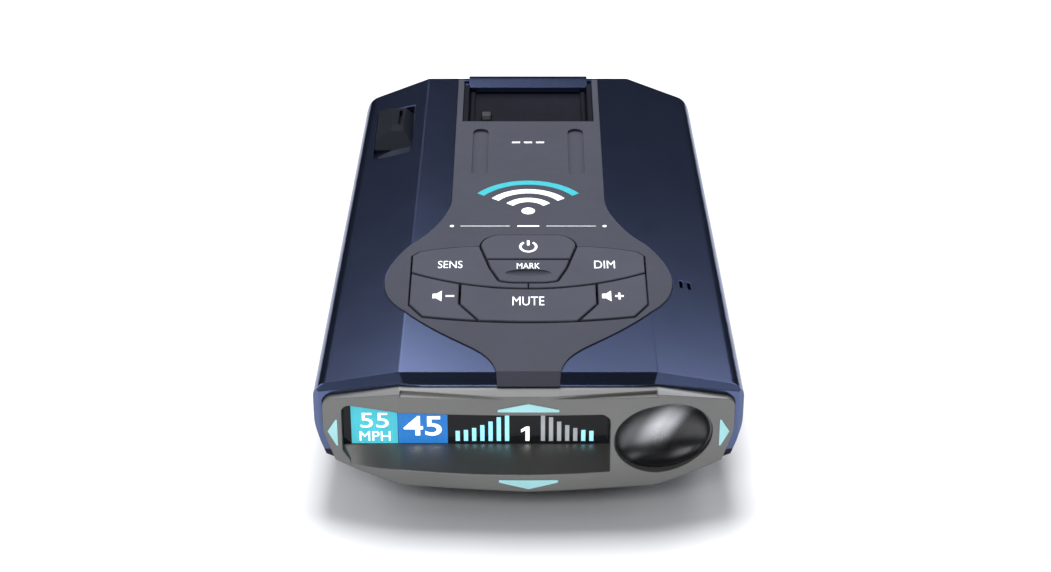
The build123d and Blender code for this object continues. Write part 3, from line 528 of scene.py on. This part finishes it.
DISH_RX, DISH_RZ = 9.84, 7.69       # the dish's outline, an ellipse
DISH_DEPTH = 4.4
DISH_RIM = -66.0                    # the bowl's mouth, at its middle
DISH_TURN = radians(10.4)           # the bowl faces this far to the right
DISH_STEPS = 128                    # points round each ring
DISH_RINGS = 24                     # rings from the bowl's bottom to its mouth
MOUTH = 0.985                       # the bowl stops here, just short of its upright edge
FLANGE = 1.06                       # how far the flange stands out
FLANGE_BACK = 7.0                   # where the flange begins, behind the dish's front


def dish():
    """The rear dish as a smooth bowl in a thin rim, with the flange that holds it in the bezel."""
    low, high = (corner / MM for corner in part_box("rear_lens"))
    middle = Vector((high.x - DISH_RX - FLANGE, DISH_RIM, (low.z + high.z) / 2))
    turns = [2 * pi * i / DISH_STEPS for i in range(DISH_STEPS)]

    def bowl_ring(share):
        """A ring of the hollow at a share of its full width, turned with the bowl."""
        depth = DISH_DEPTH * (1 - share ** 2) ** 0.5
        ring = []
        for turn in turns:
            x, z = DISH_RX * share * cos(turn), DISH_RZ * share * sin(turn)
            ring.append((x * cos(DISH_TURN) - depth * sin(DISH_TURN),
                         x * sin(DISH_TURN) + depth * cos(DISH_TURN), z))
        return ring

    def wall_ring(grow, depths):
        """A ring of the upright wall, with each point's depth behind the rim."""
        return [((DISH_RX + grow) * cos(turn), depth, (DISH_RZ + grow * 0.9) * sin(turn))
                for turn, depth in zip(turns, depths)]

    rings = [bowl_ring(sin(pi / 2 * i / DISH_RINGS) * MOUTH) for i in range(1, DISH_RINGS + 1)]
    mouth = [point[1] for point in rings[-1]]
    shoulder = [low.y + FLANGE_BACK - DISH_RIM] * DISH_STEPS
    back = [high.y - DISH_RIM] * DISH_STEPS
    rings += [wall_ring(0, mouth), wall_ring(0, shoulder)]
    rings += [wall_ring(FLANGE, shoulder), wall_ring(FLANGE, back)]
    shape = bmesh.new()
    loops = [[shape.verts.new(Vector(point) * MM) for point in ring] for ring in rings]
    for inner, outer in zip(loops, loops[1:]):
        for i in range(len(turns)):
            shape.faces.new((inner[i - 1], inner[i], outer[i], outer[i - 1]))
    shape.faces.new(loops[0])
    shape.faces.new(loops[-1])
    bmesh.ops.recalc_face_normals(shape, faces=shape.faces)
    mesh = bpy.data.meshes.new("rear_dish")
    shape.to_mesh(mesh)
    shape.free()
    mesh.polygons.foreach_set("use_smooth", [True] * len(mesh.polygons))
    mesh.set_sharp_from_angle(angle=radians(40))
    obj = new_object("rear_dish", mesh, Matrix.Translation(middle * MM))
    finish_piece(obj, FINISHES["lens_gunmetal"], "case")
    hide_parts("rear_lens")


dish()


# ---- latch springs ---------------------------------------------------------------------------


def coils():
    """The latch springs again, as a copy with a mesh of its own that stands in for the rigid part."""
    rigid = frame["nodes"]["latch_springs"]
    obj = new_object("latch_coils", rigid.data.copy(), rigid.matrix_world)
    finish_piece(obj, FINISHES["spring_steel"], "case")
    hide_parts("latch_springs")
    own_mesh(obj)


coils()


# ---- underside label -------------------------------------------------------------------------

def label_print():
    """A ruled frame with blank lines, like an unprinted rating plate."""
    low, high = (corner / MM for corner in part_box("rating_label"))
    margin = 1.5
    x0, x1, y0, y1 = low.x + margin, high.x - margin, low.y + margin, high.y - margin
    frame_lines = [stroke([(x0, y), (x1, y)], 0.3) for y in (y0, y1)]
    frame_lines += [stroke([(x, y0 + 0.2), (x, y1 - 0.2)], 0.3) for x in (x0, x1)]
    rules = [stroke([(x0 + 3, y0 + step), (x1 - 3, y0 + step)], 0.5) for step in range(5, 38, 4)]
    place = Matrix.Translation((0, 0, (low.z - 0.001) * MM)) @ Matrix.Rotation(pi, 4, "Y")
    mirrored = [[(-x, y) for x, y in outline[::-1]] for outline in frame_lines + rules]
    print_shapes("label_lines", mirrored, place, INK_GREY, "case", 0.0005)


label_print()


# ---- stage -----------------------------------------------------------------------------------

def floor():
    """A pale floor that is darker in mirrors, clear from below, and casts no shadow."""
    pale = (0.80, 0.80, 0.81)
    mesh = bpy.data.meshes.new("floor")
    mesh.from_pydata([(-4, -4, 0), (4, -4, 0), (4, 4, 0), (-4, 4, 0)], [], [(0, 1, 2, 3)])
    obj = new_object("floor", mesh)
    obj.location.z = cad_low.z - 0.1 * MM
    graph = surface("floor", pale, 0.7, cloud=3, spread=0.01, grain=200, depth=0.02)
    light_path = graph.add("ShaderNodeLightPath")
    reflected = light_path.outputs["Is Glossy Ray"]
    graph.set("Base Color", graph.mix(reflected, pale, (0.50, 0.50, 0.51)))
    clear = graph.add("ShaderNodeBsdfTransparent").outputs[0]
    below = graph.add("ShaderNodeNewGeometry").outputs["Backfacing"]
    shadow = light_path.outputs["Is Shadow Ray"]
    open_way = graph.add("ShaderNodeMath", {0: below, 1: shadow}, operation="MAXIMUM").outputs[0]
    split = graph.add("ShaderNodeMixShader", {0: open_way, 1: graph.shader.outputs[0], 2: clear})
    graph.feed(graph.tree.nodes["Material Output"].inputs["Surface"], split.outputs[0])
    mesh.materials.append(graph.material)


def area_light(name, location, target, size, power, color=(1, 1, 1), seen=True):
    light = bpy.data.lights.new(name, "AREA")
    light.shape = "RECTANGLE"
    light.size, light.size_y = size
    light.energy = power
    light.color = color
    obj = new_object(name, light)
    obj.location = location
    obj.rotation_euler = (Vector(target) - Vector(location)).to_track_quat("-Z", "Y").to_euler()
    obj.visible_glossy = seen


def world():
    """Soft surroundings: a bright band above the far horizon, dark overhead and low down behind."""
    surroundings = bpy.data.worlds.new("studio")
    bpy.context.scene.world = surroundings
    surroundings.use_nodes = True
    nodes, links = surroundings.node_tree.nodes, surroundings.node_tree.links
    background = nodes["Background"]
    direction = nodes.new("ShaderNodeTexCoord").outputs["Generated"]
    axes = nodes.new("ShaderNodeSeparateXYZ")
    links.new(direction, axes.inputs[0])

    def step(value, start, end, low, high):
        """Smoothly from low to high as value goes from start to end."""
        node = nodes.new("ShaderNodeMapRange")
        node.interpolation_type = "SMOOTHSTEP"
        links.new(value, node.inputs["Value"])
        for name, number in (("From Min", start), ("From Max", end), ("To Min", low), ("To Max", high)):
            node.inputs[name].default_value = number
        return node.outputs[0]

    def combine(operation, *values):
        node = nodes.new("ShaderNodeMath")
        node.operation = operation
        for index, value in enumerate(values):
            if isinstance(value, float):
                node.inputs[index].default_value = value
            else:
                links.new(value, node.inputs[index])
        return node.outputs[0]

    height = combine("MULTIPLY_ADD", combine("ABSOLUTE", axes.outputs["X"]), 0.28, axes.outputs["Z"])
    rise = step(height, 0.55, 0.66, 0.003, 1.0)
    overhead = step(axes.outputs["Z"], 0.72, 0.86, 1.0, 0.08)
    ahead = step(axes.outputs["Y"], -0.1, 0.35, 0.15, 1.0)
    ripple = combine("SINE", combine("MULTIPLY", axes.outputs["X"], 11.0))
    sides = combine("MULTIPLY_ADD", ripple, -1.9, 2.6)
    band = combine("MULTIPLY", rise, overhead)
    glow = combine("MULTIPLY", band, combine("MULTIPLY", ahead, sides))
    background.inputs["Color"].default_value = (0.93, 0.95, 1.0, 1)
    links.new(glow, background.inputs["Strength"])
    backdrop = nodes.new("ShaderNodeBackground")
    backdrop.inputs["Color"].default_value = (0.93, 0.93, 0.94, 1)
    chosen = nodes.new("ShaderNodeMixShader")
    links.new(nodes.new("ShaderNodeLightPath").outputs["Is Camera Ray"], chosen.inputs[0])
    links.new(background.outputs[0], chosen.inputs[1])
    links.new(backdrop.outputs[0], chosen.inputs[2])
    links.new(chosen.outputs[0], nodes["World Output"].inputs["Surface"])


def camera():
    """The camera on the driver's side, looking down along the object's length."""
    downward = 29.39
    data = bpy.data.cameras.new("camera")
    data.lens = 78.1
    data.sensor_width = 36.0
    obj = new_object("camera", data)
    obj.location = Vector((-0.6, -445.7, 265.2)) * MM
    obj.rotation_euler = (radians(90 - downward), 0, 0)
    bpy.context.scene.camera = obj


floor()
world()
camera()
area_light("overhead", (0, 0.28, 0.8), (0, -0.02, 0), (0.35, 0.35), 9, seen=False)
area_light("front_fill", (-0.25, -0.78, 0.7), (0, 0, 0), (0.6, 0.45), 2.8)
area_light("from_below", (0, 0.15, -0.5), (0, 0, 0), (0.5, 0.5), 2.0, seen=False)
area_light("left_strip", (-0.6, -0.05, 0.30), (0, 0, 0.02), (0.8, 0.10), 0.35, (0.9, 0.93, 1))
area_light("right_strip", (0.6, -0.05, 0.30), (0, 0, 0.02), (0.8, 0.10), 0.35, (0.9, 0.93, 1))
bpy.context.scene.view_settings.view_transform = "Standard"
